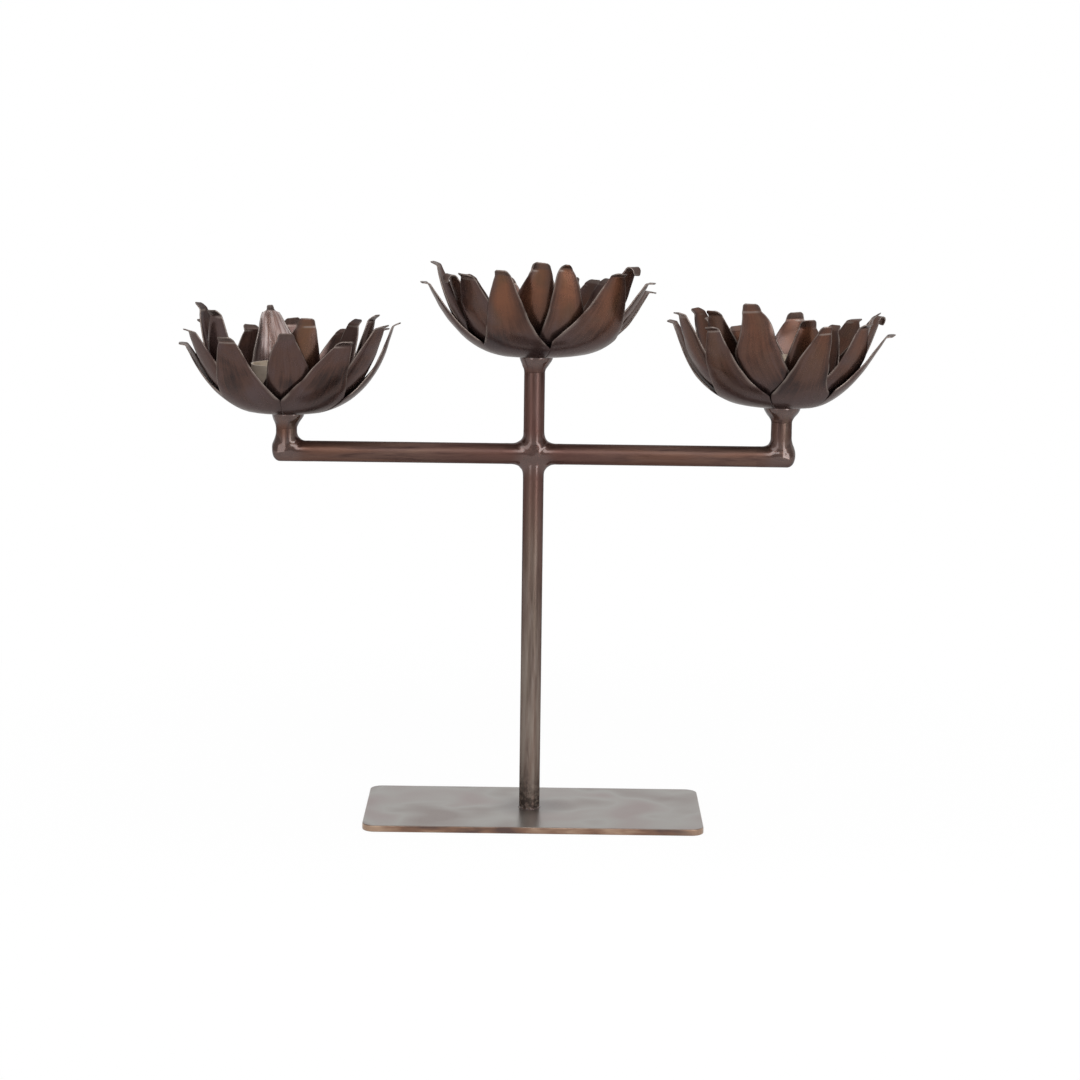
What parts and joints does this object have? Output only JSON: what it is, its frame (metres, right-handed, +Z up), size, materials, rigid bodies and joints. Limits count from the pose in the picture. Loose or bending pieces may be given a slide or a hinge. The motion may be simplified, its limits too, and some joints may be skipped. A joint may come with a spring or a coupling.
{
  "type": "candelabra",
  "caption": "Welded steel candelabra: flat base plate, round tube stem with a crossbar, and sheet-metal lotus flowers that each hold a loose tealight cup.",
  "frame": {"origin": "on the plate's underside, straight below the stem's axis", "axes": "+Z up along the stem, +X along the right arm, +Y to the back"},
  "size_m": [0.4349, 0.142, 0.3481],
  "materials": {
    "plate_steel": "brown patina under satin lacquer",
    "tube_steel": "mottled brown patina under satin lacquer",
    "weld_metal": "smooth glossy brown weld",
    "petal_steel": "brown patina with copper tints, satin",
    "rivet_steel": "darkened steel",
    "cup_steel": "pale satin"
  },
  "bodies": {
    "stand": {"base_plate": "plate_steel", "stem": "tube_steel", "left_arm": "tube_steel", "right_arm": "tube_steel", "left_riser": "tube_steel", "right_riser": "tube_steel", "left_arm_end_plug": "tube_steel", "right_arm_end_plug": "tube_steel", "stem_foot_weld": "weld_metal", "left_arm_weld": "weld_metal", "right_arm_weld": "weld_metal", "left_riser_weld": "weld_metal", "right_riser_weld": "weld_metal", "left_collar_weld": "weld_metal", "left_outer_petals": "petal_steel", "left_middle_petals": "petal_steel", "left_inner_petals": "petal_steel", "left_flower_rivet": "rivet_steel", "centre_collar_weld": "weld_metal", "centre_outer_petals": "petal_steel", "centre_middle_petals": "petal_steel", "centre_inner_petals": "petal_steel", "centre_flower_rivet": "rivet_steel", "right_collar_weld": "weld_metal", "right_outer_petals": "petal_steel", "right_middle_petals": "petal_steel", "right_inner_petals": "petal_steel", "right_flower_rivet": "rivet_steel"},
    "left_cup": {"left_candle_cup": "cup_steel"},
    "centre_cup": {"centre_candle_cup": "cup_steel"},
    "right_cup": {"right_candle_cup": "cup_steel"}
  },
  "joints": [
    {"name": "left_cup_lift", "type": "slide", "parent": "stand", "child": "left_cup", "axis": [0, 0, 1], "range_m": [0, 0.078]},
    {"name": "centre_cup_lift", "type": "slide", "parent": "stand", "child": "centre_cup", "axis": [0, 0, 1], "range_m": [0, 0.078]},
    {"name": "right_cup_lift", "type": "slide", "parent": "stand", "child": "right_cup", "axis": [0, 0, 1], "range_m": [0, 0.078]}
  ]
}
